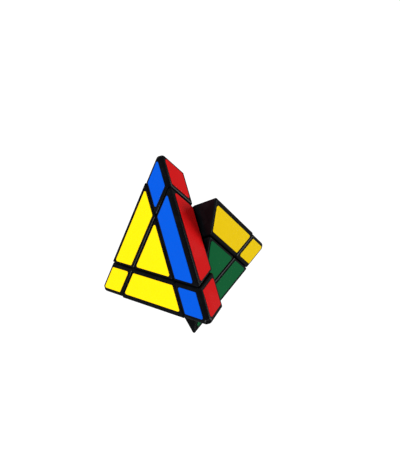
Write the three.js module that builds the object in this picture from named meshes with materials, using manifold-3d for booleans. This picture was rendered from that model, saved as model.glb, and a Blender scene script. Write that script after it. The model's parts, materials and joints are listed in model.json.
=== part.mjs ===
// A face-turning pyramid puzzle: a regular tetrahedron of 4 corner blocks, 6 edge blocks and 4 face centres,
// held on a ball core by 4 sprung screws. Any one face layer can turn about the axis through its centre.
// The puzzle stands on one face, whose layer is part-way through a turn.
//
// Units are millimetres and +Z is up. The origin is the middle of the face that the puzzle stands on.
// Every block is a piece of the pyramid cut by four planes, one parallel to each face and LAYER inside it.
// Inside a ball round the pyramid's centre the cut planes step closer to the centre, so each block carries a
// foot that reaches under its neighbours: a corner is held under edges and centres, an edge under centres, and
// the centres are screwed to the core. Every surface between a layer and the rest is one of revolution about
// that layer's axis, so a layer turns through any angle without touching.

import * as THREE from "three";
import { ConvexGeometry } from "three/addons/geometries/ConvexGeometry.js";
import { mergeVertices } from "three/addons/utils/BufferGeometryUtils.js";
import Module from "manifold-3d";

// ---- Driving dimensions ----
const PYRAMID_EDGE = 98; // from corner to corner, to the sharp corners that the rounding takes off
const CORNER_SIDE = 20.6; // side of a corner block, along the pyramid's edge
const TURNED_BY = 80.1; // degrees that the base layer stands turned from lined up, about +Z

const GAP = 0.4; // clear space between neighbouring blocks
const EDGE_FILLET = { radius: 1.3, steps: 5 }; // rounding of the pyramid's edges along the edge blocks
const CORNER_FILLET = { radius: 2.1, steps: 5 }; // and round the corner blocks, which are blunter
const CUT_FILLET = { radius: 1, steps: 2 }; // rounding of the edges that the cuts make
const TIP_FLAT = 5; // from a sharp corner to the small flat that blunts it

const STICKER_THICKNESS = 0.25;
const STICKER_LIFT = 0.03; // the glue line under a sticker
const STICKER_CUT_MARGIN = 1.95; // from a cut plane to the sticker, in the face
const STICKER_EDGE_MARGIN = 3.35; // from the pyramid's sharp edge to the sticker, in the face
const STICKER_CORNER_RADIUS = 0.9;

const SOCKET_RADIUS = 15; // the ball-shaped hollow under the blocks
const NECK_OUTER_RADIUS = 17.5; // how far a block's neck runs up into it
const FOOT_OUTER_RADIUS = 14.6;
const FOOT_INNER_RADIUS = 9.15;
const FOOT_CUT = 0.9; // distance of the feet's cut planes from the pyramid's centre

const CORE_RADIUS = 8.6;
const CORE_ARM_RADIUS = 3.2;
const CORE_ARM_LENGTH = 10.9; // from the core's centre to the end of an arm
const CORE_HOLE_RADIUS = 1.75;
const CORE_HOLE_BOTTOM = 2.6;

const HUB_RADIUS = 4.5;
const HUB_BOTTOM = 11.2; // these heights run along a layer's axis, from the pyramid's centre
const HUB_FLOOR = 12.8;
const HUB_TOP = 16.5;
const HUB_HOLE_RADIUS = 1.8;
const SPRING_POCKET_RADIUS = 3.5;

const WASHER = { bottom: 12.88, thickness: 0.5, inner: 1.75, outer: 3.2 };
const SPRING = { bottom: 13.46, top: 15.66, meanRadius: 2.35, wireRadius: 0.28, turns: 2.5 };
const SCREW = { tip: 3.2, shankRadius: 1.45, seat: 15.74, headTop: 17.2, headRadius: 2.9 };
const SCREW_SLOT = { length: 3.6, width: 0.75, depth: 0.8 };

const CAP_SEAM = 17.7; // height at which a centre splits into its base and its cap
const CAP_SEAM_GAP = 0.1;
const CAP_PEG = { radius: 1.2, length: 2.4, fromAxis: 9.5, clearance: 0.3 };

// ---- What follows from them ----
const HEIGHT = PYRAMID_EDGE * Math.sqrt(2 / 3);
const FACE = HEIGHT / 4; // from the pyramid's centre to each face
const LAYER = (HEIGHT * CORNER_SIDE) / PYRAMID_EDGE; // thickness of a face layer
const CUT = FACE - LAYER; // from the pyramid's centre to each cut plane
const FACE_ALTITUDE = (PYRAMID_EDGE * Math.sqrt(3)) / 2;
const CUT_IN_FACE = (FACE_ALTITUDE * CORNER_SIDE) / PYRAMID_EDGE; // from a face's side to its cut line
const SHARP_RADIUS = HEIGHT - FACE; // from the pyramid's centre to each sharp corner
const BASE_Z = STICKER_THICKNESS + STICKER_LIFT; // the plastic face stands this high on its stickers

const wasm = await Module();
wasm.setup();

// ---- Directions: four corners and the four faces opposite them, from the pyramid's centre ----
const onRing = (degrees) => {
  const turn = THREE.MathUtils.degToRad(degrees);
  const radius = Math.sqrt(8) / 3;
  return new THREE.Vector3(radius * Math.cos(turn), radius * Math.sin(turn), -1 / 3);
};
const CORNERS = {
  apex: new THREE.Vector3(0, 0, 1),
  rear: onRing(90),
  left: onRing(210),
  right: onRing(330),
};
const CORNER_NAMES = Object.keys(CORNERS);
const faceNormal = (opposite) => CORNERS[opposite].clone().negate();

// The rotation that carries the pair of corners (apex, rear) to the pair (first, second).
// There is one for each ordered pair, and each carries the whole pyramid onto itself.
function placement(first, second) {
  const frame = (a, b) => {
    const across = new THREE.Vector3().crossVectors(a, b).normalize();
    return new THREE.Matrix4().makeBasis(a, new THREE.Vector3().crossVectors(across, a), across);
  };
  const from = frame(CORNERS.apex, CORNERS.rear);
  const to = frame(CORNERS[first], CORNERS[second]);
  return new THREE.Quaternion().setFromRotationMatrix(to.multiply(from.transpose()));
}

// ---- Solids ----
function solidOf(geometry) {
  const plain = geometry.clone();
  plain.deleteAttribute("normal");
  plain.deleteAttribute("uv");
  const merged = mergeVertices(plain, 1e-4);
  const mesh = new wasm.Mesh({
    numProp: 3,
    vertProperties: new Float32Array(merged.attributes.position.array),
    triVerts: new Uint32Array(merged.index.array),
  });
  return new wasm.Manifold(mesh);
}

function geometryOf(solid) {
  const mesh = solid.getMesh();
  const geometry = new THREE.BufferGeometry();
  geometry.setAttribute("position", new THREE.BufferAttribute(mesh.vertProperties, 3));
  geometry.setIndex(new THREE.BufferAttribute(mesh.triVerts, 1));
  return geometry.toNonIndexed();
}

const ball = (radius, detail = 4) => solidOf(new THREE.IcosahedronGeometry(radius, detail));

// A round bar standing on +Z between two heights.
function bar(radius, bottom, top, sides = 24) {
  const geometry = new THREE.CylinderGeometry(radius, radius, top - bottom, sides);
  geometry.rotateX(Math.PI / 2);
  geometry.translate(0, 0, (top + bottom) / 2);
  return geometry;
}

// The corners of the convex cell where normal . point <= reach holds for every wall.
// Each comes with the three walls that meet there.
function cellCorners(walls) {
  const found = [];
  const matrix = new THREE.Matrix3();
  for (let i = 0; i < walls.length; i++) {
    for (let j = i + 1; j < walls.length; j++) {
      for (let k = j + 1; k < walls.length; k++) {
        const [a, b, c] = [walls[i], walls[j], walls[k]];
        matrix.set(...a.normal.toArray(), ...b.normal.toArray(), ...c.normal.toArray());
        if (Math.abs(matrix.determinant()) < 1e-6) continue;
        const point = new THREE.Vector3(a.reach, b.reach, c.reach).applyMatrix3(matrix.invert());
        const inside = walls.every((wall) => wall.normal.dot(point) <= wall.reach + 1e-6);
        if (inside) found.push({ point, normals: [a.normal, b.normal, c.normal] });
      }
    }
  }
  return found;
}

// A cell with sharp edges.
const sharpCell = (walls) => solidOf(new ConvexGeometry(cellCorners(walls).map((corner) => corner.point)));

// A cell with rounded edges: the hull of a patch of sphere at each corner of the cell set in by the radius.
function roundedCell(walls, { radius, steps }) {
  const setIn = walls.map((wall) => ({ normal: wall.normal, reach: wall.reach - radius }));
  const points = [];
  for (const { point, normals } of cellCorners(setIn)) {
    for (let i = 0; i <= steps; i++) {
      for (let j = 0; j <= steps - i; j++) {
        const outward = new THREE.Vector3()
          .addScaledVector(normals[0], i)
          .addScaledVector(normals[1], j)
          .addScaledVector(normals[2], steps - i - j)
          .setLength(radius);
        points.push(outward.add(point));
      }
    }
  }
  return solidOf(new ConvexGeometry(points));
}

// The walls of the block that lies in the layers of the given faces and in no other.
// A face is named by the corner opposite it. Both cuts are distances from the pyramid's centre: the block
// keeps beyond ownCut in its own layers and short of otherCut in the rest.
function blockWalls(layers, ownCut, otherCut) {
  const walls = [];
  for (const name of CORNER_NAMES) {
    const normal = faceNormal(name);
    if (layers.includes(name)) {
      walls.push({ normal, reach: FACE });
      walls.push({ normal: normal.clone().negate(), reach: -(ownCut + GAP / 2) });
    } else {
      walls.push({ normal, reach: otherCut - GAP / 2 });
    }
  }
  return walls;
}

function wholePyramid(fillet) {
  const faces = CORNER_NAMES.map((name) => ({ normal: faceNormal(name), reach: FACE }));
  const tips = CORNER_NAMES.map((name) => ({ normal: CORNERS[name], reach: SHARP_RADIUS - TIP_FLAT }));
  return roundedCell([...faces, ...tips], fillet);
}

function outside(layers) {
  const fillet = layers.length === 3 ? CORNER_FILLET : EDGE_FILLET;
  const cell = roundedCell(blockWalls(layers, CUT, CUT), CUT_FILLET);
  return cell.intersect(wholePyramid(fillet)).subtract(ball(SOCKET_RADIUS));
}

// A corner or edge block: the outside, a foot inside the ball-shaped hollow, and a neck between them.
function movingBlock(layers) {
  const neck = sharpCell(blockWalls(layers, CUT, FOOT_CUT))
    .intersect(ball(NECK_OUTER_RADIUS))
    .subtract(ball(FOOT_INNER_RADIUS));
  const foot = sharpCell(blockWalls(layers, FOOT_CUT, FOOT_CUT))
    .intersect(ball(FOOT_OUTER_RADIUS))
    .subtract(ball(FOOT_INNER_RADIUS));
  return geometryOf(outside(layers).add(neck).add(foot));
}

// ---- A face centre and what is stacked on its screw. These are made about +Z, as if the face were on top ----
const FACE_UP = new THREE.Matrix4().makeRotationX(Math.PI); // turns the base face's direction up to +Z

const centreBlock = () => outside(["apex"]).transform(FACE_UP.toArray());

// Everything on one side of a height, as a box far larger than a block.
function half(fromZ, toZ) {
  const span = 2 * PYRAMID_EDGE;
  const geometry = new THREE.BoxGeometry(span, span, toZ - fromZ);
  geometry.translate(0, 0, (fromZ + toZ) / 2);
  return solidOf(geometry);
}

// Three bars, one towards each tip of a centre that is face up.
function pegs(radius, bottom, top) {
  const made = ["rear", "left", "right"].map((tip) => {
    const towards = CORNERS[tip].clone().applyMatrix4(FACE_UP).setZ(0).setLength(CAP_PEG.fromAxis);
    const geometry = bar(radius, bottom, top, 16);
    geometry.translate(towards.x, towards.y, 0);
    return solidOf(geometry);
  });
  return made.reduce((all, one) => all.add(one));
}

function centreBase() {
  const hub = solidOf(bar(HUB_RADIUS, HUB_BOTTOM, HUB_TOP, 32));
  const pocket = solidOf(bar(SPRING_POCKET_RADIUS, HUB_FLOOR, FACE, 32));
  const hole = solidOf(bar(HUB_HOLE_RADIUS, HUB_BOTTOM - 1, HUB_FLOOR + 1));
  const pegHoles = pegs(CAP_PEG.radius + CAP_PEG.clearance, CAP_SEAM - CAP_PEG.length - CAP_PEG.clearance, FACE);
  const solid = centreBlock()
    .intersect(half(0, CAP_SEAM - CAP_SEAM_GAP))
    .add(hub)
    .subtract(pocket)
    .subtract(hole)
    .subtract(pegHoles);
  return geometryOf(solid);
}

function centreCap() {
  const plate = centreBlock().intersect(half(CAP_SEAM, FACE + 1));
  return geometryOf(plate.add(pegs(CAP_PEG.radius, CAP_SEAM - CAP_PEG.length, CAP_SEAM + 1)));
}

function lathe(profile, sides) {
  const geometry = new THREE.LatheGeometry(
    profile.map(([radius, height]) => new THREE.Vector2(radius, height)),
    sides,
  );
  geometry.rotateX(Math.PI / 2); // the lathe turns about +Y, and this stands it on +Z
  return geometry;
}

// A pan-head screw, tip towards the core.
function screw() {
  const { tip, shankRadius, seat, headTop, headRadius } = SCREW;
  const profile = [
    [0, tip],
    [0.5 * shankRadius, tip],
    [shankRadius, tip + 1.2],
    [shankRadius, seat],
    [headRadius, seat],
    [headRadius, headTop - 0.6],
    [0.8 * headRadius, headTop],
    [0, headTop],
  ];
  let solid = solidOf(lathe(profile, 20));
  for (const [x, y] of [
    [SCREW_SLOT.length, SCREW_SLOT.width],
    [SCREW_SLOT.width, SCREW_SLOT.length],
  ]) {
    const slot = new THREE.BoxGeometry(x, y, 2 * SCREW_SLOT.depth);
    slot.translate(0, 0, headTop);
    solid = solid.subtract(solidOf(slot));
  }
  return geometryOf(solid);
}

function washer() {
  const { bottom, thickness, inner, outer } = WASHER;
  const top = bottom + thickness;
  const profile = [
    [inner, bottom],
    [outer, bottom],
    [outer, top],
    [inner, top],
    [inner, bottom],
  ];
  return lathe(profile, 24);
}

class Helix extends THREE.Curve {
  getPoint(t, target = new THREE.Vector3()) {
    const { bottom, top, meanRadius, wireRadius, turns } = SPRING;
    const angle = 2 * Math.PI * turns * t;
    const height = THREE.MathUtils.lerp(bottom + wireRadius, top - wireRadius, t);
    return target.set(meanRadius * Math.cos(angle), meanRadius * Math.sin(angle), height);
  }
}

function spring() {
  const section = new THREE.Shape().absarc(0, 0, SPRING.wireRadius, 0, 2 * Math.PI);
  return new THREE.ExtrudeGeometry(section, { steps: 40, curveSegments: 6, extrudePath: new Helix() });
}

// The ball core, with an arm towards each face and a screw hole down each arm.
function core() {
  const upTo = (name) => new THREE.Quaternion().setFromUnitVectors(CORNERS.apex, faceNormal(name));
  const towards = (geometry, name) => solidOf(geometry.clone().applyQuaternion(upTo(name)));
  const arm = bar(CORE_ARM_RADIUS, 0, CORE_ARM_LENGTH);
  const hole = bar(CORE_HOLE_RADIUS, CORE_HOLE_BOTTOM, CORE_ARM_LENGTH + 1, 20);
  const arms = CORNER_NAMES.map((name) => towards(arm, name));
  const holes = CORNER_NAMES.map((name) => towards(hole, name));
  const whole = arms.reduce((all, one) => all.add(one), ball(CORE_RADIUS, 3));
  return geometryOf(holes.reduce((left, one) => left.subtract(one), whole));
}

// ---- Stickers ----
// A point in a face at given distances from the sides opposite its first two corners, in the face's plane.
function inFace([a, b, c], fromFirst, fromSecond) {
  const first = fromFirst / FACE_ALTITUDE;
  const second = fromSecond / FACE_ALTITUDE;
  return new THREE.Vector2()
    .addScaledVector(a, first)
    .addScaledVector(b, second)
    .addScaledVector(c, 1 - first - second);
}

// A polygon with its corners rounded by arcs.
function roundedOutline(points, radius) {
  const shape = new THREE.Shape();
  points.forEach((corner, i) => {
    const before = points[(i + points.length - 1) % points.length].clone().sub(corner).normalize();
    const after = points[(i + 1) % points.length].clone().sub(corner).normalize();
    const halfAngle = Math.acos(before.dot(after)) / 2;
    const start = corner.clone().addScaledVector(before, radius / Math.tan(halfAngle));
    const toCentre = before.clone().add(after).setLength(radius / Math.sin(halfAngle));
    const centre = corner.clone().add(toCentre);
    const end = corner.clone().addScaledVector(after, radius / Math.tan(halfAngle));
    const angleOf = (point) => Math.atan2(point.y - centre.y, point.x - centre.x);
    const clockwise = before.cross(after) > 0;
    shape.absarc(centre.x, centre.y, radius, angleOf(start), angleOf(end), clockwise);
  });
  return shape;
}

// The sticker of the block lying in the layers named, on the face opposite one of them.
// Its sides keep one margin to the pyramid's edges and another to the cut lines.
function sticker(layers, face) {
  const names = CORNER_NAMES.filter((name) => name !== face);
  const up = faceNormal(face);
  const flat = new THREE.Quaternion().setFromUnitVectors(up, CORNERS.apex);
  const flattened = names.map((name) => {
    const point = CORNERS[name].clone().applyQuaternion(flat).multiplyScalar(SHARP_RADIUS);
    return new THREE.Vector2(point.x, point.y);
  });
  // The side of the face opposite a corner belongs to that corner's face layer.
  const ranges = names.map((name) =>
    layers.includes(name)
      ? [STICKER_EDGE_MARGIN, CUT_IN_FACE - STICKER_CUT_MARGIN]
      : [CUT_IN_FACE + STICKER_CUT_MARGIN, Infinity],
  );
  const lines = ranges.flatMap(([near, far], side) => [
    { side, distance: near },
    ...(Number.isFinite(far) ? [{ side, distance: far }] : []),
  ]);
  const points = [];
  for (let i = 0; i < lines.length; i++) {
    for (let j = i + 1; j < lines.length; j++) {
      if (lines[i].side === lines[j].side) continue;
      const distances = [0, 0, 0];
      const third = 3 - lines[i].side - lines[j].side;
      distances[lines[i].side] = lines[i].distance;
      distances[lines[j].side] = lines[j].distance;
      distances[third] = FACE_ALTITUDE - lines[i].distance - lines[j].distance;
      const inside = distances.every((d, k) => d > ranges[k][0] - 1e-6 && d < ranges[k][1] + 1e-6);
      if (inside) points.push(inFace(flattened, distances[0], distances[1]));
    }
  }
  const middle = points.reduce((sum, point) => sum.add(point), new THREE.Vector2()).divideScalar(points.length);
  const bearing = (point) => Math.atan2(point.y - middle.y, point.x - middle.x);
  points.sort((p, q) => bearing(p) - bearing(q));
  const geometry = new THREE.ExtrudeGeometry(roundedOutline(points, STICKER_CORNER_RADIUS), {
    depth: STICKER_THICKNESS,
    bevelEnabled: false,
    curveSegments: 3,
  });
  geometry.translate(0, 0, FACE + STICKER_LIFT);
  return geometry.applyQuaternion(flat.invert());
}

// ---- Materials ----
const plastic = (color, roughness) => new THREE.MeshStandardMaterial({ color, roughness, metalness: 0 });
const steel = (roughness) => new THREE.MeshStandardMaterial({ color: 0xb8babd, roughness, metalness: 1 });
const BLACK = plastic(0x101112, 0.42);
const NYLON = plastic(0xd9d9d2, 0.6);
const SCREW_STEEL = steel(0.3);
const SPRING_STEEL = steel(0.25);
const STICKER = {
  yellow: plastic(0xffef12, 0.35),
  blue: plastic(0x0b5ff0, 0.35),
  red: plastic(0xd41f22, 0.35),
  green: plastic(0x0f6a37, 0.35),
};

// ---- Where each block stands, and its sticker on each face. A face is named by the corner opposite it ----
const BASE_LAYER = [
  { block: "corner", at: ["rear"], colours: { apex: "blue", right: "red", left: "green" } },
  { block: "corner", at: ["left"], colours: { apex: "blue", right: "red", rear: "yellow" } },
  { block: "corner", at: ["right"], colours: { apex: "yellow", left: "blue", rear: "green" } },
  { block: "edge", at: ["rear", "left"], colours: { apex: "blue", right: "red" } },
  { block: "edge", at: ["rear", "right"], colours: { apex: "yellow", left: "blue" } },
  { block: "edge", at: ["left", "right"], colours: { apex: "yellow", rear: "green" } },
  { block: "centre", at: ["rear", "left", "right"], colours: { apex: "yellow" } },
];
const UPPER_BLOCKS = [
  { block: "corner", at: ["apex"], colours: { rear: "yellow", left: "green", right: "red" } },
  { block: "edge", at: ["apex", "left"], colours: { rear: "yellow", right: "red" } },
  { block: "edge", at: ["apex", "right"], colours: { left: "blue", rear: "green" } },
  { block: "edge", at: ["apex", "rear"], colours: { left: "green", right: "red" } },
  { block: "centre", at: ["apex", "left", "right"], colours: { rear: "green" } },
  { block: "centre", at: ["apex", "rear", "left"], colours: { right: "red" } },
  { block: "centre", at: ["apex", "rear", "right"], colours: { left: "blue" } },
];

const CORNER_GEOMETRY = movingBlock(["rear", "left", "right"]); // at the apex
const EDGE_GEOMETRY = movingBlock(["left", "right"]); // from the apex to the rear corner
const CENTRE_BASE_GEOMETRY = centreBase();
const CENTRE_CAP_GEOMETRY = centreCap();
const FACE_STACK = {
  screw: { geometry: screw(), material: SCREW_STEEL },
  spring: { geometry: spring(), material: SPRING_STEEL },
  washer: { geometry: washer(), material: SCREW_STEEL },
};

function named(name, geometry, material) {
  const mesh = new THREE.Mesh(geometry, material);
  mesh.name = name;
  return mesh;
}

// One block with its stickers. A centre also has its cap.
function assembled({ block, at, colours }) {
  const group = new THREE.Group();
  const faces = Object.keys(colours);
  const title = [block, ...Object.values(colours)].join("_");
  const placed = new THREE.Group();
  if (block === "centre") {
    const [face] = faces;
    const second = CORNER_NAMES.find((name) => name !== face);
    placed.quaternion.copy(placement(face, second));
    const faceUp = new THREE.Group(); // a centre's parts are made face up, and the base face looks down
    faceUp.rotation.x = Math.PI;
    faceUp.add(named(`${title}_base`, CENTRE_BASE_GEOMETRY, BLACK));
    faceUp.add(named(`${title}_cap`, CENTRE_CAP_GEOMETRY, BLACK));
    placed.add(faceUp);
  } else if (block === "edge") {
    placed.quaternion.copy(placement(at[0], at[1]));
    placed.add(named(title, EDGE_GEOMETRY, BLACK));
  } else {
    const second = CORNER_NAMES.find((name) => name !== at[0]);
    placed.quaternion.copy(placement(at[0], second));
    placed.add(named(title, CORNER_GEOMETRY, BLACK));
  }
  group.add(placed);
  for (const face of faces) {
    const name = `${title}_sticker_${colours[face]}`;
    group.add(named(name, sticker(faces, face), STICKER[colours[face]]));
  }
  return group;
}

// The screw, spring and washer on each arm of the core.
function faceStack(face, colour) {
  const group = new THREE.Group();
  group.quaternion.setFromUnitVectors(CORNERS.apex, faceNormal(face));
  for (const [name, { geometry, material }] of Object.entries(FACE_STACK)) {
    group.add(named(`${name}_under_${colour}_centre`, geometry, material));
  }
  return group;
}

const puzzle = new THREE.Group();
puzzle.position.z = BASE_Z + FACE;

const baseLayer = new THREE.Group();
baseLayer.rotation.z = THREE.MathUtils.degToRad(TURNED_BY);
baseLayer.add(...BASE_LAYER.map(assembled));
puzzle.add(baseLayer);
puzzle.add(...UPPER_BLOCKS.map(assembled));

puzzle.add(named("core", core(), NYLON));
puzzle.add(faceStack("apex", "yellow"));
puzzle.add(faceStack("rear", "green"));
puzzle.add(faceStack("right", "red"));
puzzle.add(faceStack("left", "blue"));

export default puzzle;
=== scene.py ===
# %% [markdown]
# # A pyramid puzzle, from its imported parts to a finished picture
# The puzzle is a regular tetrahedron cut by four planes, one parallel to each face. That makes 4
# corner blocks, 6 edge blocks and 4 face centres, all of black moulded plastic, with a vinyl
# sticker on each outer face. Inside, a ball core holds the centres by four sprung screws, and the
# centres hold the rest by feet.
#
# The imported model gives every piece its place, its moving body and its joint. This script makes
# each piece again with fine rounded edges, threads and coils, and gives each material its finish.
# Each piece's place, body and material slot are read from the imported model. The driving sizes are
# repeated here, because the surfaces are worked out from them.

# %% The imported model
import json
import math

import bmesh
import bpy
import numpy as np
from mathutils import Matrix, Vector


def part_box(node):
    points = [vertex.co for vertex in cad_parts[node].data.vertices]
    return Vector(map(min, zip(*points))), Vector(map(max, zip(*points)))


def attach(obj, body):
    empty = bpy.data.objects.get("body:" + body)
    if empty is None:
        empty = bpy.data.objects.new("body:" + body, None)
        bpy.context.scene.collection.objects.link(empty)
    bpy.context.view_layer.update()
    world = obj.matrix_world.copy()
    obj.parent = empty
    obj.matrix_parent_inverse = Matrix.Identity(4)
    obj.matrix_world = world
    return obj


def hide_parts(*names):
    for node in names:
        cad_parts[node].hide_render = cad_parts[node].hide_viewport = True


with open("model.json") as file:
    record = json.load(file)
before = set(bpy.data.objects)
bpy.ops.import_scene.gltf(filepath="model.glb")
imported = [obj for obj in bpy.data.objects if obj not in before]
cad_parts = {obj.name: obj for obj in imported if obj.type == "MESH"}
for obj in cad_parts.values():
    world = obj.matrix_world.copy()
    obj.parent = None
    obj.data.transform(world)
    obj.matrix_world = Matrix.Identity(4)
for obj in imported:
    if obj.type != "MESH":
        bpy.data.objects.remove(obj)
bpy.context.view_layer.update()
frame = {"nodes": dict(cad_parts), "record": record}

NODES = frame["nodes"]
BODY_OF = {
    node: body
    for body, nodes in frame["record"]["behaviour"]["bodies"].items()
    for node in nodes
}
SLOT_OF = {part["node"]: part["material_slot"] for part in frame["record"]["subparts"]}

# %% [markdown]
# ## The pyramid's geometry
# Four unit vectors point from the pyramid's centre to its corners, and each face looks the
# opposite way to the corner across from it. Every flat surface of the puzzle is a plane square to
# one of those directions, so a single number, its distance from the centre, places it. The blocks
# could be drawn one by one and then made to fit. Worked out from the same planes, they fit from
# the start. The layer that the puzzle stands on is turned about the upright axis, so its pieces
# are worked out lined up and then turned.

# %% Directions and driving distances, in metres
MM = 0.001
PYRAMID_EDGE = 98 * MM
CORNER_SIDE = 20.6 * MM
TURNED_BY = math.radians(80.1)
GAP = 0.4 * MM

HEIGHT = PYRAMID_EDGE * math.sqrt(2 / 3)
FACE = HEIGHT / 4
CUT = FACE - HEIGHT * CORNER_SIDE / PYRAMID_EDGE
TIP_FLAT = 5.0 * MM  # from a sharp corner to the small flat that blunts it

LEVEL_SINE = math.sqrt(8) / 3  # of the angle between two faces
BEARINGS = np.radians([90, 210, 330])
CORNERS = np.vstack([
    [0, 0, 1],
    np.column_stack([
        LEVEL_SINE * np.cos(BEARINGS),
        LEVEL_SINE * np.sin(BEARINGS),
        np.full(3, -1 / 3),
    ]),
])
FACES = -CORNERS

CENTRE = np.array([0, 0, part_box("centre_yellow_cap")[0].z + FACE])
LAYER_TURN = np.array(Matrix.Rotation(TURNED_BY, 3, "Z"))
print("centre of the pyramid", CENTRE.round(4), "cuts", round(CUT / MM, 2), "mm from it")


# %% Which face layers a piece lies in
def lined_up(points, body):
    """The points from the pyramid's centre, with the turned layer's points turned back."""
    points = np.asarray(points, float) - CENTRE
    return points @ LAYER_TURN if body == "turned_layer" else points


def in_place(points, body):
    """The reverse of lined_up."""
    points = np.asarray(points, float)
    return (points @ LAYER_TURN.T if body == "turned_layer" else points) + CENTRE


def middle_of(node):
    """The middle of the node's vertices' extent, in the lined-up pyramid."""
    data = NODES[node].data
    points = np.empty(3 * len(data.vertices))
    data.vertices.foreach_get("co", points)
    points = lined_up(points.reshape(-1, 3), BODY_OF[node])
    return (points.min(0) + points.max(0)) / 2


def layers_of(node):
    """The faces whose layer holds the node: those whose cut plane the node's middle is beyond."""
    return [face for face in range(4) if FACES[face] @ middle_of(node) > CUT]


for example in ("corner_yellow_green_red", "edge_yellow_blue", "centre_green_cap"):
    print(example, "lies in the layers of faces", layers_of(example))

# %% [markdown]
# ## Cells
# A block or a sticker's outline is the space on the inner side of a few planes, its walls. It
# could be cut from a solid by one Boolean a plane, but that hides the corners' places, which the
# rounding and the stickers need. So they are solved for: three planes meet in a point, and the
# corners of the cell are those points that no other plane cuts off. All triples of planes are
# solved at once. The corners on each plane, in order round their middle, are one face.
# A wall is (normal, reach), and the cell keeps where normal . point <= reach.

# %% The corners and faces of a convex cell
PARALLEL_UNDER = 1e-6  # determinant of three normals that don't meet in a point
WITHIN = 1e-9
TOUCHES = 1e-8


def cell(walls):
    """Corners, faces and the faces' walls. Walls that the others keep the space from are left out."""
    normals = np.array([wall[0] for wall in walls])
    reaches = np.array([wall[1] for wall in walls])
    count = len(walls)
    triples = np.array([(i, j, k) for i in range(count) for j in range(i) for k in range(j)])
    triples = triples[np.abs(np.linalg.det(normals[triples])) > PARALLEL_UNDER]
    points = np.linalg.solve(normals[triples], reaches[triples][..., None])[..., 0]
    points = points[(points @ normals.T <= reaches + WITHIN).all(1)]
    points = points[np.unique(points.round(8), axis=0, return_index=True)[1]]
    faces = []
    kept = []
    for wall in walls:
        on_wall = np.flatnonzero(np.abs(points @ wall[0] - wall[1]) < TOUCHES)
        if len(on_wall) < 3:
            continue
        kept.append(wall)
        spokes = points[on_wall] - points[on_wall].mean(0)
        bearing = np.arctan2(spokes @ np.cross(wall[0], spokes[0]), spokes @ spokes[0])
        faces.append(on_wall[np.argsort(bearing)])
    return points, faces, kept


def block_walls(layers, own_cut=CUT, other_cut=CUT):
    """The walls of the block that lies in the layers given and in no other.

    The block keeps beyond own_cut in its own layers and short of other_cut in the rest.
    """
    walls = []
    for face, normal in enumerate(FACES):
        if face in layers:
            walls.append((normal, FACE))
            walls.append((-normal, -(own_cut + GAP / 2)))
        else:
            walls.append((normal, other_cut - GAP / 2))
    return walls


BLUNTED_TIPS = [(corner, HEIGHT - FACE - TIP_FLAT) for corner in CORNERS]
PYRAMID_WALLS = [(normal, FACE) for normal in FACES] + BLUNTED_TIPS

for name, walls in (("corner block", block_walls([1, 2, 3])), ("blunted pyramid", PYRAMID_WALLS)):
    corners, faces, _ = cell(walls)
    print("a", name, "has", len(corners), "corners and", len(faces), "faces")

# %% [markdown]
# ## Making meshes
# Every mesh comes from an array of points. Points that fall together are merged, so a surface
# that closes on itself, or that shrinks to a point on an axis, is one closed skin. Each piece's
# object stays at the origin, and its place is in its vertices, so a pattern that is measured in
# object coordinates keeps its scale and stays where it is.
#
# Solids are joined and cut by Boolean modifiers that are then applied. Their MANIFOLD solver
# takes only closed skins and gives back only closed skins, which the exact one doesn't promise.

# %% Meshes, modifiers and joins
MERGE_WITHIN = 0.0001 * MM
SHARP_FROM = math.radians(35)
FLAT_WEIGHT = 80  # how strongly large flats hold the shading of a rounding next to them


def mesh_object(name, points, faces):
    """An object at the origin with this mesh, its coinciding points merged."""
    mesh = bpy.data.meshes.new(name)
    mesh.from_pydata(np.asarray(points).tolist(), [], [list(map(int, face)) for face in faces])
    skin = bmesh.new()
    skin.from_mesh(mesh)
    bmesh.ops.remove_doubles(skin, verts=skin.verts, dist=MERGE_WITHIN)
    skin.to_mesh(mesh)
    skin.free()
    thing = bpy.data.objects.new(name, mesh)
    bpy.context.scene.collection.objects.link(thing)
    return thing


def shaped(thing, kind, **settings):
    """Adds a modifier of this kind."""
    modifier = thing.modifiers.new(kind, kind)
    for name, value in settings.items():
        setattr(modifier, name, value)
    return thing


def settled(thing):
    """The thing with its mesh replaced by what its modifiers make of it."""
    graph = bpy.context.evaluated_depsgraph_get()
    made = bpy.data.meshes.new_from_object(thing.evaluated_get(graph))
    thing.modifiers.clear()
    thing.data = made
    return thing


def joined(thing, *steps):
    """The thing after each step, which is an operation and a tool. The tools are used up."""
    for operation, tool in steps:
        shaped(thing, "BOOLEAN", operation=operation, object=tool, solver="MANIFOLD")
    settled(thing)
    for _, tool in steps:
        bpy.data.objects.remove(tool)
    return thing


def smoothed(piece):
    """Smooth shading, with real edges kept sharp and flat areas kept flat."""
    piece.data.shade_smooth()
    piece.data.set_sharp_from_angle(angle=SHARP_FROM)
    return shaped(piece, "WEIGHTED_NORMAL", keep_sharp=True, weight=FLAT_WEIGHT)


print("edges are sharp from", round(math.degrees(SHARP_FROM)), "degrees")

# %% [markdown]
# ### Rounded blocks
# A moulded block has no sharp edge. A Bevel modifier could round it, but where three edges of
# different angles meet, its corner patch can dent. So a block is rounded as by a ball that rolls
# inside it: the walls are set in by the ball's radius, a patch of the ball is put at each corner
# of what is left, and the whole is the hull of the patches. The hull's flats are the walls, and
# between two corners it is a round edge.

# %% Cells as meshes, sharp or rounded
ROUNDING_STEPS = 10
FLAT_WITHIN = math.radians(0.2)


def sharp_cell(name, walls, body):
    """The cell itself, with its faces as they are."""
    corners, faces, _ = cell(walls)
    return mesh_object(name, in_place(corners, body), faces)


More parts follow.
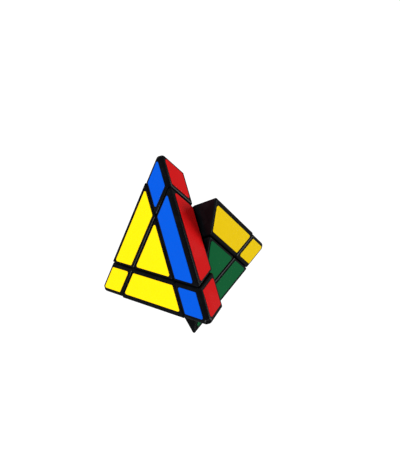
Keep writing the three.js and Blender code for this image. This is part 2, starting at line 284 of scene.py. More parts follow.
def patch(normals):
    """Directions spread over the triangle between three.

    They are a x first + b x second + c x third, brought to length 1, with a + b + c constant.
    """
    first, second = np.mgrid[0:ROUNDING_STEPS + 1, 0:ROUNDING_STEPS + 1].reshape(2, -1)
    third = ROUNDING_STEPS - first - second
    ways = np.column_stack([first, second, third])[third >= 0] @ normals
    return ways / np.linalg.norm(ways, axis=1, keepdims=True)


def rounded_cell(name, walls, radius, body):
    """The hull of corner + radius x patch, for each corner of the cell set in by the radius.

    Exactly three walls meet in each corner.
    """
    corners, _, walls = cell([(normal, reach - radius) for normal, reach in walls])
    normals = np.array([normal for normal, _ in walls])
    reaches = np.array([reach for _, reach in walls])
    touching = np.abs(corners @ normals.T - reaches) < TOUCHES
    patches = [
        corner + radius * patch(normals[walls_here])
        for corner, walls_here in zip(corners, touching)
    ]
    block = mesh_object(name, in_place(np.vstack(patches), body), [])
    skin = bmesh.new()
    skin.from_mesh(block.data)
    hull = bmesh.ops.convex_hull(skin, input=skin.verts)
    unused = [part for part in hull["geom_interior"] if isinstance(part, bmesh.types.BMVert)]
    bmesh.ops.delete(skin, geom=unused, context="VERTS")
    bmesh.ops.dissolve_limit(skin, angle_limit=FLAT_WITHIN, verts=skin.verts, edges=skin.edges)
    skin.to_mesh(block.data)
    skin.free()
    return block


print("a rounded corner is a patch of", len(patch(np.eye(3))), "points")

# %% [markdown]
# ### Round parts
# The inside is round, because each layer turns on it. Screw and washer could be scaled cylinders,
# but a swept profile also has their chamfers, domes and grooves. A profile is a list of
# (radius, height) points, with the height measured along a face's axis from the pyramid's centre,
# and it is swept about that axis. It runs upward on its outer side, which makes the surface face
# outward.

# %% Surfaces of revolution, and tubes
AROUND = 64
ASKEW = np.array([0.36, 0.48, 0.8])
OFF_AXIS = FACES[0] + 0.3 * FACES[1]  # along no face's axis


def upright(axis):
    """Two directions square to the axis and to each other, the first x the second = the axis."""
    first = np.cross(axis, OFF_AXIS)
    first /= np.linalg.norm(first)
    return first, np.cross(axis, first)


def skin_of(rings):
    """The quads between rings of points, each ring closed. rings is (rings, points, 3)."""
    levels, around = rings.shape[:2]
    index = np.arange(levels * around).reshape(levels, around)
    onward = np.roll(index, -1, 1)
    return np.stack([index[:-1], onward[:-1], onward[1:], index[1:]], -1).reshape(-1, 4)


def lathe(name, profile, axis, body, foot=(0, 0, 0), relief=None):
    """The profile swept about the axis through foot.

    At turn t, from 0 to 1, a point is foot + height x axis + radius x (cos 2 pi t, sin 2 pi t) in
    the two directions of upright. relief(height, t) adds to the radius.
    """
    radius, height = np.array(profile, float).T[..., None]
    turn = np.arange(AROUND)[None] / AROUND
    if relief:
        radius = radius + relief(height, turn)
    first, second = upright(axis)
    spokes = np.cos(2 * np.pi * turn)[..., None] * first + np.sin(2 * np.pi * turn)[..., None] * second
    rings = np.asarray(foot) + height[..., None] * axis + radius[..., None] * spokes
    return mesh_object(name, in_place(rings.reshape(-1, 3), body), skin_of(rings))


def ball(radius, body):
    """A ball about the pyramid's centre. Its poles are askew, so that no wall runs through one."""
    tilt = np.linspace(-np.pi / 2, np.pi / 2, AROUND // 2 + 1)
    profile = np.column_stack([radius * np.cos(tilt), radius * np.sin(tilt)])
    return lathe("ball", profile, ASKEW, body)


def bar(radius, bottom, top, axis, body, foot=(0, 0, 0), chamfer=0):
    """A round bar along the axis, with the edge of its lower end taken off."""
    profile = [
        (0, bottom),
        (radius - chamfer, bottom),
        (radius, bottom + chamfer),
        (radius, top),
        (0, top),
    ]
    return lathe("bar", profile, axis, body, foot)


print("round parts have", AROUND, "points around")

# %% [markdown]
# ## Finishes
# A material is a small program of nodes. Nodes could be placed and linked one by one, which takes
# five lines for each sum. The two classes below let it be written as a program: a Wire is a
# socket that takes part in sums, and a Finish adds any other node with one method. Patterns read
# Object coordinates, which are metres here, so a noise of size 1 mm has features of that size on
# every piece.


# %% Sums on sockets, and one method for all other nodes
class Wire:
    """A node's output that can be added to, taken from and multiplied by numbers or wires."""

    def __init__(self, finish, socket):
        self.finish = finish
        self.socket = socket

    def worked(self, operation, first, second):
        """The wire that holds first (operation) second."""
        return self.finish.node("ShaderNodeMath", {"operation": operation}, {0: first, 1: second})

    def __add__(self, other):
        return self.worked("ADD", self, other)

    def __sub__(self, other):
        return self.worked("SUBTRACT", self, other)

    def __rsub__(self, other):
        return self.worked("SUBTRACT", other, self)

    def __mul__(self, other):
        return self.worked("MULTIPLY", self, other)

    __radd__ = __add__
    __rmul__ = __mul__


class Finish:
    """A material with one Principled surface, whose constants are set on its own sockets."""

    def __init__(self, name, **constants):
        self.material = bpy.data.materials.new(name)
        self.material.use_nodes = True
        self.tree = self.material.node_tree
        self.surface = self.tree.nodes["Principled BSDF"]
        for socket, value in constants.items():
            self.surface.inputs[socket.replace("_", " ")].default_value = value

    def node(self, kind, settings=None, inputs=None, output=0):
        """A new node: its settings first, then the values or wires of its sockets."""
        made = self.tree.nodes.new(kind)
        for name, value in (settings or {}).items():
            setattr(made, name, value)
        for socket, value in (inputs or {}).items():
            if isinstance(value, Wire):
                self.tree.links.new(value.socket, made.inputs[socket])
            else:
                made.inputs[socket].default_value = value
        return Wire(self, made.outputs[output])

    def feed(self, socket, wire):
        """Links the wire to a socket of the surface."""
        self.tree.links.new(wire.socket, self.surface.inputs[socket])

    def place(self):
        """Where the surface is, in object coordinates."""
        return self.node("ShaderNodeTexCoord", output="Object")

    def noise(self, size, detail=2, seed=0):
        """Values round a half, whose features are about this many metres across."""
        settings = {"noise_dimensions": "4D"}
        inputs = {"Vector": self.place(), "W": seed, "Scale": 1 / size, "Detail": detail}
        return self.node("ShaderNodeTexNoise", settings, inputs)

    def between(self, wire, low, high):
        """0 where the wire is under low, 1 over high, and smooth between."""
        settings = {"interpolation_type": "SMOOTHSTEP"}
        inputs = {"Value": wire, "From Min": low, "From Max": high}
        return self.node("ShaderNodeMapRange", settings, inputs)

    def blend(self, share, first, second):
        """first where share is 0 and second where it is 1; both are colours."""
        inputs = {0: share, 6: (*first, 1), 7: (*second, 1)}
        return self.node("ShaderNodeMix", {"data_type": "RGBA"}, inputs, output=2)

    def bump(self, height, depth):
        """Relief of this depth in metres, where height goes from 0 to 1."""
        relief = self.node("ShaderNodeBump", None, {"Height": height, "Distance": depth})
        self.feed("Normal", relief)


# %% [markdown]
# ### Moulded plastic
# The blocks are injection-moulded ABS: deep black, satin from the fine grain of the mould, and
# polished a little by fingers. One roughness for all of it would look like paint, so the gloss
# wanders over a centimetre or so, and a grain too fine to see singly breaks up the reflections.
# The hidden core is pale nylon, which has the same kinds of wear at other strengths.

# %% Black plastic and the core's nylon
SATIN = 0.12  # specular level of plastic and vinyl alike, low so that black and colours stay deep
PLASTIC_IOR = 1.5
RUB_SIZE = 7 * MM
RUB_RANGE = (0.45, 0.75)
RUB_POLISH = 0.05
HANDLING_SIZE = 16 * MM
HANDLING_SWING = 0.16
MOULD_GRAIN_SIZE = 0.22 * MM


def moulded(name, colour, worn, roughness, grain):
    """Plastic of one colour, rubbed towards another in patches, with a mould's grain."""
    finish = Finish(name, IOR=PLASTIC_IOR, Specular_IOR_Level=SATIN)
    rubbed = finish.between(finish.noise(RUB_SIZE, detail=4), *RUB_RANGE)
    handled = finish.noise(HANDLING_SIZE, detail=3, seed=2)
    finish.feed("Base Color", finish.blend(rubbed, colour, worn))
    gloss = roughness + HANDLING_SWING * (handled - 0.5) - RUB_POLISH * rubbed
    finish.feed("Roughness", gloss)
    finish.bump(finish.noise(MOULD_GRAIN_SIZE, detail=1), grain)
    return finish.material


BLACK = moulded(
    "black_plastic",
    colour=(0.002, 0.0023, 0.003),
    worn=(0.005, 0.0055, 0.0065),
    roughness=0.3,
    grain=0.006 * MM,
)
NYLON = moulded(
    "core_nylon",
    colour=(0.72, 0.71, 0.66),
    worn=(0.62, 0.60, 0.54),
    roughness=0.55,
    grain=0.01 * MM,
)
print("plastics:", BLACK.name, NYLON.name)

# %% [markdown]
# ### Vinyl stickers
# A sticker is printed film with a clear skin. It isn't quite flat: the film carries a faint
# ripple, which makes reflections waver, and fingers leave duller patches. A flat colour would
# hide both, and a picture of a sticker would show its own light. So colour, gloss and ripple are
# three noises of different sizes.

# %% Sticker vinyl in four colours
VINYL_IOR = 1.45
TONE_SIZE = 9 * MM
TONE_SHARE = 0.5
SMUDGE_SIZE = 11 * MM
SMUDGE_RANGE = (0.4, 0.7)
CLEAN_ROUGHNESS = 0.19
SMUDGE_ROUGHNESS = 0.1
RIPPLE_SIZE = 4 * MM
RIPPLE_DEPTH = 0.03 * MM
FILM_GRAIN_SIZE = 0.35 * MM
FILM_GRAIN_SHARE = 0.06


def vinyl(name, colour, deep):
    """Film of one colour that deepens here and there, with smudges and a ripple."""
    finish = Finish(name, IOR=VINYL_IOR, Specular_IOR_Level=SATIN)
    tone = finish.noise(TONE_SIZE, detail=3)
    smudge = finish.between(finish.noise(SMUDGE_SIZE, detail=4, seed=5), *SMUDGE_RANGE)
    finish.feed("Base Color", finish.blend(TONE_SHARE * tone, colour, deep))
    finish.feed("Roughness", CLEAN_ROUGHNESS + SMUDGE_ROUGHNESS * smudge)
    ripple = finish.noise(RIPPLE_SIZE, detail=2, seed=1)
    grain = finish.noise(FILM_GRAIN_SIZE, detail=1, seed=3)
    finish.bump(ripple + FILM_GRAIN_SHARE * grain, RIPPLE_DEPTH)
    return finish.material


VINYL = {
    "yellow_sticker": vinyl("yellow_vinyl", (0.99, 0.69, 0.003), (0.95, 0.63, 0.003)),
    "blue_sticker": vinyl("blue_vinyl", (0.001, 0.084, 0.60), (0.001, 0.076, 0.55)),
    "red_sticker": vinyl("red_vinyl", (0.66, 0.008, 0.009), (0.60, 0.006, 0.007)),
    "green_sticker": vinyl("green_vinyl", (0.003, 0.125, 0.036), (0.003, 0.105, 0.030)),
}
print("vinyls:", *VINYL)

# %% [markdown]
# ### Metal
# The screws and washers are zinc plated, so they are bright with a faint cloudiness, and the
# springs are drawn wire, smoother and a little darker. One cloud drives both the tint and the
# gloss, as it does in a real plating.

# %% Plated steel and spring wire
CLOUD_SIZE = 1.2 * MM
CLOUD_SWING = 0.2
SCRATCH_SIZE = 0.1 * MM
SCRATCH_DEPTH = 0.002 * MM


def metal(name, colour, cloudy, roughness):
    """Bare or plated metal, clouded towards another tint."""
    finish = Finish(name, Metallic=1.0)
    cloud = finish.noise(CLOUD_SIZE, detail=4)
    finish.feed("Base Color", finish.blend(cloud, colour, cloudy))
    finish.feed("Roughness", roughness + CLOUD_SWING * (cloud - 0.5))
    finish.bump(finish.noise(SCRATCH_SIZE, detail=1), SCRATCH_DEPTH)
    return finish.material


STEEL = {
    "screw_steel": metal("zinc_plated_steel", (0.62, 0.63, 0.64), (0.50, 0.52, 0.56), 0.28),
    "spring_steel": metal("spring_wire", (0.55, 0.55, 0.56), (0.46, 0.46, 0.47), 0.2),
}
FINISHES = {"body_plastic": BLACK, "core_plastic": NYLON, **STEEL, **VINYL}
print("metals:", *STEEL)

# %% [markdown]
# ## A finished piece in place of its node
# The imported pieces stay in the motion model. A finished piece rides on its node's body, so that
# it moves with it, takes its material slot and stands in for it.


# %% Taking a node's place
def stands_for(piece, node):
    """Names and finishes the piece, and puts it in the node's place."""
    piece.name = node + "_finished"
    piece.data.name = piece.name
    piece.data.materials.clear()
    piece.data.materials.append(FINISHES[SLOT_OF[node]])
    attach(smoothed(piece), BODY_OF[node])
    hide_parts(node)


def nodes_with(start, end=""):
    """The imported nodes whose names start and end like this."""
    return [node for node in NODES if node.startswith(start) and node.endswith(end)]


print(len(nodes_with("", "_cap")), "nodes are caps")

# %% [markdown]
# ## Corner and edge blocks
# A block is its own cell, rounded along the cuts, where it also lies inside the blunted pyramid,
# which is rounded more, because fingers hold the puzzle there. One rounding for both would lose
# either the narrow cuts or the soft outer edges. A ball-shaped hollow is taken out. Inside it the
# cuts step closer to the centre, so a foot, which lies on the cuts' inner planes, reaches under
# the neighbours and keeps the block from falling out, and a neck joins it to the block. A foot's
# walls and a neck's are kept a hair apart, so that no two joined surfaces lie in one plane.

# %% Sizes of the blocks
CUT_RADIUS = 1.0 * MM  # rounding along the cuts
EDGE_RADIUS = 1.3 * MM  # rounding of the pyramid's edges along the edge blocks
CORNER_RADIUS = 2.1 * MM  # and round the corner blocks, which are blunter
SOCKET_RADIUS = 15 * MM
NECK_OUTER = 17.5 * MM
FOOT_OUTER = 14.6 * MM
FOOT_INNER = 9.15 * MM
FOOT_CUT = 0.9 * MM  # from the pyramid's centre to the cuts' inner planes
HAIR = 0.05 * MM
print("feet are", round((FOOT_OUTER - FOOT_INNER) / MM, 2), "mm thick")


# %% Blocks with their feet
def moving_block(node):
    """Cell within pyramid - socket ball + neck + foot - room for the core and its arms.

    The neck and the foot are each a cell within a ball.
    """
    layers = layers_of(node)
    body = BODY_OF[node]
    outer_radius = CORNER_RADIUS if len(layers) == 3 else EDGE_RADIUS
    foot = sharp_cell("foot", block_walls(layers, FOOT_CUT, FOOT_CUT), body)
    neck = sharp_cell("neck", block_walls(layers, CUT + HAIR, FOOT_CUT - HAIR), body)
    return joined(
        rounded_cell(node, block_walls(layers), CUT_RADIUS, body),
        ("INTERSECT", rounded_cell("pyramid", PYRAMID_WALLS, outer_radius, body)),
        ("DIFFERENCE", ball(SOCKET_RADIUS, body)),
        ("UNION", joined(neck, ("INTERSECT", ball(NECK_OUTER, body)))),
        ("UNION", joined(foot, ("INTERSECT", ball(FOOT_OUTER, body)))),
        ("DIFFERENCE", ball(FOOT_INNER, body)),
    )


for node in nodes_with("corner_") + nodes_with("edge_"):
    if "_sticker_" in node:
        continue
    block = moving_block(node)
    print(node, len(block.data.polygons), "faces")
    stands_for(block, node)

# %% [markdown]
# ## Face centres
# A centre is two mouldings. The base carries a hub that reaches down to the core, with a pocket
# for the spring and a hole for the screw. The cap closes the pocket, and its three pegs press
# into the base. Both are cut from one rounded cell by a slab, so their sides run on without a
# step, and the seam stays as thin as the real one.

# %% Sizes of the centres
CAP_SEAM = 17.7 * MM
SEAM_GAP = 0.1 * MM
HUB_RADIUS = 4.5 * MM
HUB_BOTTOM = 11.2 * MM
HUB_FLOOR = 12.8 * MM
HUB_TOP = 16.5 * MM
HUB_HOLE_RADIUS = 1.8 * MM
POCKET_RADIUS = 3.5 * MM
PEG_RADIUS = 1.2 * MM
PEG_LENGTH = 2.4 * MM
PEG_FROM_AXIS = 9.5 * MM
PEG_CLEARANCE = 0.3 * MM
CHAMFER = 0.3 * MM
OVERSHOOT = 1 * MM  # how far a tool or a joined part reaches past the surface it crosses
print("caps are", round((FACE - CAP_SEAM) / MM, 2), "mm thick")


# %% What a centre's two halves share
def peg_feet(face):
    """Where the pegs stand: towards each corner of the face, from its axis."""
    across = CORNERS - np.outer(CORNERS @ FACES[face], FACES[face])
    return [PEG_FROM_AXIS * way / np.linalg.norm(way) for i, way in enumerate(across) if i != face]


def slab(face, bottom, top, body):
    """The space between two heights along a face's axis, wider than the pyramid."""
    first, second = upright(FACES[face])
    sides = [(way, PYRAMID_EDGE) for way in (first, -first, second, -second)]
    return sharp_cell("slab", [(FACES[face], top), (-FACES[face], -bottom), *sides], body)


print("a centre has", len(peg_feet(0)), "pegs")


# %% Centre bases and caps
def centre_base(node):
    """Cell below the seam - socket ball + hub - spring pocket - screw hole - peg holes."""
    face = layers_of(node)[0]
    axis = FACES[face]
    body = BODY_OF[node]
    hole_radius = PEG_RADIUS + PEG_CLEARANCE
    hole_bottom = CAP_SEAM - PEG_LENGTH - PEG_CLEARANCE
    peg_holes = [bar(hole_radius, hole_bottom, FACE, axis, body, foot) for foot in peg_feet(face)]
    screw_hole = bar(HUB_HOLE_RADIUS, HUB_BOTTOM - OVERSHOOT, HUB_FLOOR + OVERSHOOT, axis, body)
    return joined(
        rounded_cell(node, block_walls([face]), CUT_RADIUS, body),
        ("INTERSECT", slab(face, 0, CAP_SEAM - SEAM_GAP, body)),
        ("DIFFERENCE", ball(SOCKET_RADIUS, body)),
        ("UNION", bar(HUB_RADIUS, HUB_BOTTOM, HUB_TOP, axis, body, chamfer=CHAMFER)),
        ("DIFFERENCE", bar(POCKET_RADIUS, HUB_FLOOR, FACE, axis, body)),
        ("DIFFERENCE", screw_hole),
        *[("DIFFERENCE", hole) for hole in peg_holes],
    )


def centre_cap(node):
    """Cell above the seam + pegs."""
    face = layers_of(node)[0]
    axis = FACES[face]
    body = BODY_OF[node]
    peg_bottom = CAP_SEAM - PEG_LENGTH
    peg_top = CAP_SEAM + OVERSHOOT
    pegs = [
        bar(PEG_RADIUS, peg_bottom, peg_top, axis, body, foot, CHAMFER) for foot in peg_feet(face)
    ]
    return joined(
        rounded_cell(node, block_walls([face]), CUT_RADIUS, body),
        ("INTERSECT", slab(face, CAP_SEAM, FACE + OVERSHOOT, body)),
        *[("UNION", peg) for peg in pegs],
    )


for node in nodes_with("centre_", "_base"):
    stands_for(centre_base(node), node)
for node in nodes_with("centre_", "_cap"):
    stands_for(centre_cap(node), node)
print(len(nodes_with("centre_", "_cap")), "centres")

# %% [markdown]
# ## The core and what is stacked on its arms
# The core is a ball with four short arms, and a screw runs through a washer, a spring and a
# centre's hub into each. The ball's poles lie where no arm and no hole is, because a Boolean
# across a pole's thin triangles can leave slivers. For the same reason the arms start inside the
# ball and not at its middle, where all four would meet.

# %% The core
CORE_RADIUS = 8.6 * MM
ARM_RADIUS = 3.2 * MM
ARM_START = 4 * MM
ARM_LENGTH = 10.9 * MM
ARM_HOLE_RADIUS = 1.75 * MM
ARM_HOLE_BOTTOM = 2.6 * MM


def core(body):
    """Ball + an arm for each face - a screw hole down each arm."""
    arm_profile = [
        (0, ARM_START),
        (ARM_RADIUS, ARM_START),
        (ARM_RADIUS, ARM_LENGTH - CHAMFER),
        (ARM_RADIUS - CHAMFER, ARM_LENGTH),
        (0, ARM_LENGTH),
    ]
    hole_top = ARM_LENGTH + OVERSHOOT
    arms = [("UNION", lathe("arm", arm_profile, axis, body)) for axis in FACES]
    holes = [
        ("DIFFERENCE", bar(ARM_HOLE_RADIUS, ARM_HOLE_BOTTOM, hole_top, axis, body))
        for axis in FACES
    ]
    return joined(ball(CORE_RADIUS, body), *arms, *holes)


stands_for(core(BODY_OF["core"]), "core")
print("the core's arms reach", round(ARM_LENGTH / MM, 1), "mm from the centre")

# %% [markdown]
# ### Screws
# A thread could be a tube wound round the shank, joined to it, but the two skins then meet at a
# very flat angle. Here it is a relief on the shank's own surface, a ridge that climbs one pitch
# for every turn: at height z and turn t it is highest where z / pitch - t is whole plus a half,
# and it fades out at both ends. The head is a low dome with a cross recess, whose walls lean in
# towards the bottom, as they do so that the driver wedges in.

# %% Sizes of a screw
SCREW_TIP = 3.2 * MM
SHANK_RADIUS = 1.22 * MM
TIP_RADIUS = 0.45 * SHANK_RADIUS
SCREW_SEAT = 15.74 * MM
HEAD_TOP = 17.2 * MM
HEAD_RADIUS = 2.9 * MM
HEAD_FLAT = 0.62  # share of the head's radius where its dome ends in a flat
DOME_HEIGHT = 1 * MM
DOME_POINTS = 9
THREAD_TOP = 12.4 * MM
PITCH = 0.9 * MM
THREAD_DEPTH = 0.4 * MM
RINGS_PER_PITCH = 12
RECESS_LENGTH = 3.6 * MM
RECESS_WIDTH = 0.75 * MM
RECESS_DEPTH = 0.8 * MM
RECESS_LEAN = 0.12
print("a screw is", round((HEAD_TOP - SCREW_TIP) / MM, 1), "mm long")


# %% Screws
def thread(height, turn):
    """How far the thread stands out of the shank."""
    ridge = 1 - np.abs(2 * ((height / PITCH - turn) % 1) - 1)
    fade = np.clip(np.minimum(height - SCREW_TIP - PITCH, THREAD_TOP - height) / PITCH, 0, 1)
    return THREAD_DEPTH * ridge * fade


def recess_walls(axis, first, second):
    """One slot of the cross, long in the first direction."""
    walls = [(axis, HEAD_TOP + OVERSHOOT), (-axis, RECESS_DEPTH - HEAD_TOP)]
    steepness = math.hypot(1, RECESS_LEAN)
    for way, half in ((first, RECESS_LENGTH / 2), (second, RECESS_WIDTH / 2)):
        reach = (half - RECESS_LEAN * HEAD_TOP) / steepness
        walls += [((side - RECESS_LEAN * axis) / steepness, reach) for side in (way, -way)]
    return walls


def screw(name, axis, body):
    """Tip, threaded shank, seat and domed head as one swept profile, less the cross recess.

    Over a quarter turn a, the dome's radius follows cos a and its height follows sin a.
    """
    rings = int((THREAD_TOP - SCREW_TIP - PITCH) / PITCH * RINGS_PER_PITCH)
    shank = [(SHANK_RADIUS, height) for height in np.linspace(SCREW_TIP + PITCH, THREAD_TOP, rings)]
    bend = np.linspace(0, np.pi / 2, DOME_POINTS)
    dome_radius = HEAD_RADIUS * (HEAD_FLAT + (1 - HEAD_FLAT) * np.cos(bend))
    dome_height = HEAD_TOP - DOME_HEIGHT * (1 - np.sin(bend))
    profile = [
        (0, SCREW_TIP),
        (TIP_RADIUS, SCREW_TIP),
        *shank,
        (SHANK_RADIUS, SCREW_SEAT),
        (HEAD_RADIUS, SCREW_SEAT),
        *zip(dome_radius, dome_height),
        (0, HEAD_TOP),
    ]
    first, second = upright(axis)
    return joined(
        lathe(name, profile, axis, body, relief=thread),
        ("DIFFERENCE", sharp_cell("slot", recess_walls(axis, first, second), body)),
        ("DIFFERENCE", sharp_cell("slot", recess_walls(axis, second, first), body)),
    )


for node in nodes_with("screw_"):
    stands_for(screw(node, FACES[layers_of(node)[0]], BODY_OF[node]), node)
print(len(nodes_with("screw_")), "screws")

# %% [markdown]
# ### Springs and washers
# A Screw modifier winds a coil of one even pitch, but a pressed spring's end coils lie flat. So
# the wire is a tube round a helix that turns evenly, while its height follows s x s x (3 - 2s),
# which is level at both ends: the end coils sit flat on the washer and under the head. The washer
# is a swept profile with its four edges taken off.

# %% Springs
SPRING_BOTTOM = 13.46 * MM
SPRING_TOP = 15.66 * MM
COIL_RADIUS = 2.35 * MM
WIRE_RADIUS = 0.28 * MM
COIL_TURNS = 2.5
COIL_ANGLE = 2 * np.pi * COIL_TURNS
WIRE_STEPS = 160
WIRE_SIDES = 20


def spring(name, axis, body):
    """A point is the helix + WIRE_RADIUS x (cos, sin) of its place round the wire."""
    share = np.linspace(0, 1, WIRE_STEPS)[:, None]
    turn = COIL_ANGLE * share
    first, second = upright(axis)
    outward = np.cos(turn) * first + np.sin(turn) * second
    sideways = np.cos(turn) * second - np.sin(turn) * first
    rise = SPRING_TOP - SPRING_BOTTOM - 2 * WIRE_RADIUS
    height = SPRING_BOTTOM + WIRE_RADIUS + rise * share ** 2 * (3 - 2 * share)
    along = COIL_ANGLE * COIL_RADIUS * sideways + 6 * rise * share * (1 - share) * axis
    along /= np.linalg.norm(along, axis=1, keepdims=True)
    third = np.cross(along, outward)
    round_wire = 2 * np.pi * np.arange(WIRE_SIDES)[None, :, None] / WIRE_SIDES
    section = np.cos(round_wire) * outward[:, None] + np.sin(round_wire) * third[:, None]
    rings = (COIL_RADIUS * outward + height * axis)[:, None] + WIRE_RADIUS * section
    ends = np.arange(rings.shape[0] * WIRE_SIDES).reshape(-1, WIRE_SIDES)
    faces = [*skin_of(rings), ends[0][::-1], ends[-1]]
    return mesh_object(name, in_place(rings.reshape(-1, 3), body), faces)


for node in nodes_with("spring_"):
    stands_for(spring(node, FACES[layers_of(node)[0]], BODY_OF[node]), node)
print(len(nodes_with("spring_")), "springs")

# %% Washers
WASHER_BOTTOM = 12.88 * MM
WASHER_TOP = 13.38 * MM
WASHER_INNER = 1.75 * MM
WASHER_OUTER = 3.2 * MM
WASHER_CHAMFER = 0.1 * MM


def washer(name, axis, body):
    """A rectangle with its corners taken off, swept about the axis."""
    profile = [
        (WASHER_INNER, WASHER_BOTTOM + WASHER_CHAMFER),
        (WASHER_INNER + WASHER_CHAMFER, WASHER_BOTTOM),
        (WASHER_OUTER - WASHER_CHAMFER, WASHER_BOTTOM),
        (WASHER_OUTER, WASHER_BOTTOM + WASHER_CHAMFER),
        (WASHER_OUTER, WASHER_TOP - WASHER_CHAMFER),
        (WASHER_OUTER - WASHER_CHAMFER, WASHER_TOP),
        (WASHER_INNER + WASHER_CHAMFER, WASHER_TOP),
        (WASHER_INNER, WASHER_TOP - WASHER_CHAMFER),
        (WASHER_INNER, WASHER_BOTTOM + WASHER_CHAMFER),
    ]
    return lathe(name, profile, axis, body)


for node in nodes_with("washer_"):
    stands_for(washer(node, FACES[layers_of(node)[0]], BODY_OF[node]), node)
print(len(nodes_with("washer_")), "washers")

# %% [markdown]
# ## Stickers
# A sticker could be painted on the block by its material, but real film has a thickness, and its
# lip catches the light. It keeps one margin to the pyramid's edges and another to the cut lines,
# so its outline is a cell as well, cut by the face's plane. The outline's corners are rounded by
# arcs, and the film's top edge by a smaller arc.

# %% A sticker's sharp corners
EDGE_MARGIN = 3.35 * MM
CUT_MARGIN = 1.95 * MM


def sticker_corners(layers, face):
    """The corners of the sticker on a face of the block in these layers, in order about the face.

    A margin is measured in the face, so a wall that leans to it moves by margin x LEVEL_SINE.
    """
    walls = [(FACES[face], FACE), (-FACES[face], 0)]
    for other, normal in enumerate(FACES):
        if other == face:
            continue
        if other in layers:
            walls.append((normal, FACE - EDGE_MARGIN * LEVEL_SINE))
            walls.append((-normal, -(CUT + CUT_MARGIN * LEVEL_SINE)))
        else:
            walls.append((normal, CUT - CUT_MARGIN * LEVEL_SINE))
    points, faces, _ = cell(walls)
    return points[faces[0]]


for name, layers in (("centre", [0]), ("edge", [0, 1]), ("corner", [0, 1, 2])):
    print("the sticker on a", name, "has", len(sticker_corners(layers, 0)), "corners")

# %% Its outline with round corners
STICKER_CORNER = 0.9 * MM
STICKER_CORNER_STEPS = 8


def rounded_ring(corners, normal, inset, height):
    """The outline with an arc at each corner, set in and at this height over the face.

    An arc's middle is STICKER_CORNER / sin(half the corner's angle) from the corner along its
    bisector, and its radius is STICKER_CORNER - inset. Its direction turns evenly from one side's
    outward normal to the next's.
    """
    before = np.roll(corners, 1, 0) - corners
    after = np.roll(corners, -1, 0) - corners
    before /= np.linalg.norm(before, axis=1, keepdims=True)
    after /= np.linalg.norm(after, axis=1, keepdims=True)
    bisector = (before + after) / np.linalg.norm(before + after, axis=1, keepdims=True)
    half_sine = np.sqrt((1 - (before * after).sum(1)) / 2)
    middles = corners + bisector * (STICKER_CORNER / half_sine)[:, None]
    start = np.cross(-before, normal)
    finish = np.cross(after, normal)
    swing = np.arccos((start * finish).sum(1))[:, None, None]
    share = np.linspace(0, 1, STICKER_CORNER_STEPS + 1)[None, :, None]
    from_start = np.sin((1 - share) * swing) / np.sin(swing)
    to_finish = np.sin(share * swing) / np.sin(swing)
    outward = from_start * start[:, None] + to_finish * finish[:, None]
    ring = middles[:, None] + (STICKER_CORNER - inset) * outward
    return ring.reshape(-1, 3) + height * normal


ring = rounded_ring(sticker_corners([0], 0), FACES[0], 0, 0)
print("a centre's sticker has", len(ring), "points in its outline")

# %% The film, and the stickers
STICKER_BOTTOM = 0.02 * MM  # over the face, on its glue
STICKER_TOP = 0.28 * MM
LIP_RADIUS = 0.1 * MM
LIP_STEPS = 3


def film(name, layers, face, body):
    """A closed sheet over the face, with a rounded lip."""
    corners = sticker_corners(layers, face)
    swing = np.linspace(0, np.pi / 2, LIP_STEPS + 1)
    insets = [0, *(LIP_RADIUS * (1 - np.cos(swing)))]
    heights = [STICKER_BOTTOM, *(STICKER_TOP - LIP_RADIUS * (1 - np.sin(swing)))]
    levels = zip(insets, heights)
    rings = np.array([rounded_ring(corners, FACES[face], *level) for level in levels])
    index = np.arange(rings.shape[0] * rings.shape[1]).reshape(rings.shape[:2])
    faces = [*skin_of(rings), index[0][::-1], index[-1]]
    return mesh_object(name, in_place(rings.reshape(-1, 3), body), faces)


stickers = [node for node in NODES if "_sticker_" in node]
for node in stickers:
    face = int((FACES @ middle_of(node)).argmax())
    stands_for(film(node, layers_of(node), face, BODY_OF[node]), node)
print(len(stickers), "stickers")

# %% [markdown]
# ## Camera
# The camera looks up at the face that the puzzle stands on, as a person does who holds it by two
# sides. It could be aimed by a constraint, but then its roll is the constraint's choice. Here its
# axes are worked out from where it looks and which way its top points.

# %% Camera
STANDPOINT = Vector((-0.1819, -0.4342, -0.3450))
SIGHT = Vector((0.2890, 0.7251, 0.6255)).normalized()
CAMERA_TOP = Vector((-0.9448, 0.3212, 0.0640))
LENS = 85.7  # millimetres

camera = bpy.data.objects.new("camera", bpy.data.cameras.new("camera"))
bpy.context.scene.collection.objects.link(camera)
bpy.context.scene.camera = camera
camera.data.lens = LENS
rightward = SIGHT.cross(CAMERA_TOP).normalized()
camera_turn = Matrix((rightward, rightward.cross(SIGHT), -SIGHT)).transposed()
camera.matrix_world = Matrix.Translation(STANDPOINT) @ camera_turn.to_4x4()
print("the camera is", round((STANDPOINT - Vector(CENTRE)).length, 3), "m from the puzzle's centre")

# %% [markdown]
# ## Floor
# The floor is there for the views from above. A plain plane would hide the puzzle from a camera
# under it, so its back is transparent, and it neither shades nor tints the puzzle, which is lit
# from below as well.

# %% Floor
FLOOR_REACH = 4
PALE = (0.86, 0.86, 0.85, 1)

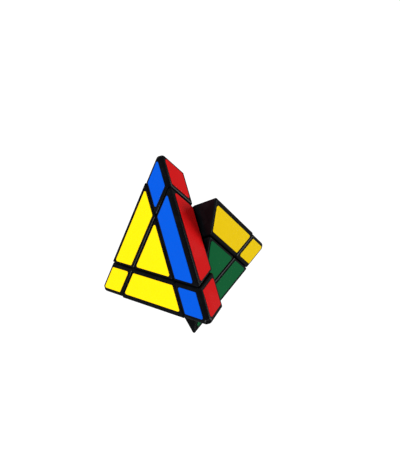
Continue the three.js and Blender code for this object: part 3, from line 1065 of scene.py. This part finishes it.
floor_corners = [(-1, -1, 0), (1, -1, 0), (1, 1, 0), (-1, 1, 0)]
floor = mesh_object("floor", FLOOR_REACH * np.array(floor_corners), [(0, 1, 2, 3)])
paint = Finish("floor_paint", Base_Color=PALE, Roughness=0.7)
seen_from_below = paint.node("ShaderNodeNewGeometry", output="Backfacing")
painted = Wire(paint, paint.surface.outputs[0])
clear = paint.node("ShaderNodeBsdfTransparent")
one_sided = paint.node("ShaderNodeMixShader", None, {0: seen_from_below, 1: painted, 2: clear})
material_output = paint.tree.nodes["Material Output"]
paint.tree.links.new(one_sided.socket, material_output.inputs["Surface"])
floor.data.materials.append(paint.material)
floor.visible_shadow = False
floor.visible_diffuse = False
floor.visible_glossy = False
floor.visible_transmission = False
print("the floor reaches", FLOOR_REACH, "m each way")

# %% [markdown]
# ## Light
# A light tent lights small products evenly from all sides. Area lamps could stand for its walls,
# but near lamps fall off across the puzzle. A sun lamp with a wide disc is as soft, and it is even.
# The two lamps below and the one at the side light the faces that the camera sees, and the two
# above light the rest. The strongest one below is left out of reflections, so that the black
# plastic stays black and shows only the narrow glints of the other, along the grooves.

# %% Lights
LIGHTS = [  # name, direction towards it, strength, width of its disc in degrees, in reflections
    ("key_below", (-0.445, -0.150, -0.883), 3.5, 30, False),
    ("glint_below", (0.62, -0.19, -0.76), 1.27, 20, True),
    ("fill_side", (0.206, -0.978, -0.05), 0.70, 25, True),
    ("key_above", (-0.3, -0.6, 0.9), 2.19, 40, True),
    ("back_above", (0.5, 0.7, 0.8), 1.4, 60, False),
]

for name, towards, strength, width, in_reflections in LIGHTS:
    light = bpy.data.lights.new(name, "SUN")
    light.energy = strength
    light.angle = math.radians(width)
    lamp = bpy.data.objects.new(name, light)
    bpy.context.scene.collection.objects.link(lamp)
    lamp.rotation_euler = Vector(towards).to_track_quat("Z", "Y").to_euler()
    lamp.visible_glossy = in_reflections
print(len(LIGHTS), "soft lights")

# %% [markdown]
# The air round the puzzle looks white to the camera, and gives much less light than a white that
# bright would: the surface of the background is brighter for the camera's own rays than for the
# rest. The Standard view transform keeps the strong colours of the vinyl as they are.

# %% Background and colour
AIR_GIVES = 0.13
AIR_LOOKS = 1.1

world = bpy.data.worlds.new("studio")
bpy.context.scene.world = world
world.use_nodes = True
air = world.node_tree
ray = air.nodes.new("ShaderNodeLightPath")
brightness = air.nodes.new("ShaderNodeMapRange")
brightness.inputs["To Min"].default_value = AIR_GIVES
brightness.inputs["To Max"].default_value = AIR_LOOKS
background = air.nodes["Background"]
air.links.new(ray.outputs["Is Camera Ray"], brightness.inputs["Value"])
air.links.new(brightness.outputs[0], background.inputs["Strength"])
background.inputs["Color"].default_value = (1, 1, 1, 1)
bpy.context.scene.view_settings.view_transform = "Standard"
print("background", AIR_LOOKS, "to the camera,", AIR_GIVES, "to the puzzle")
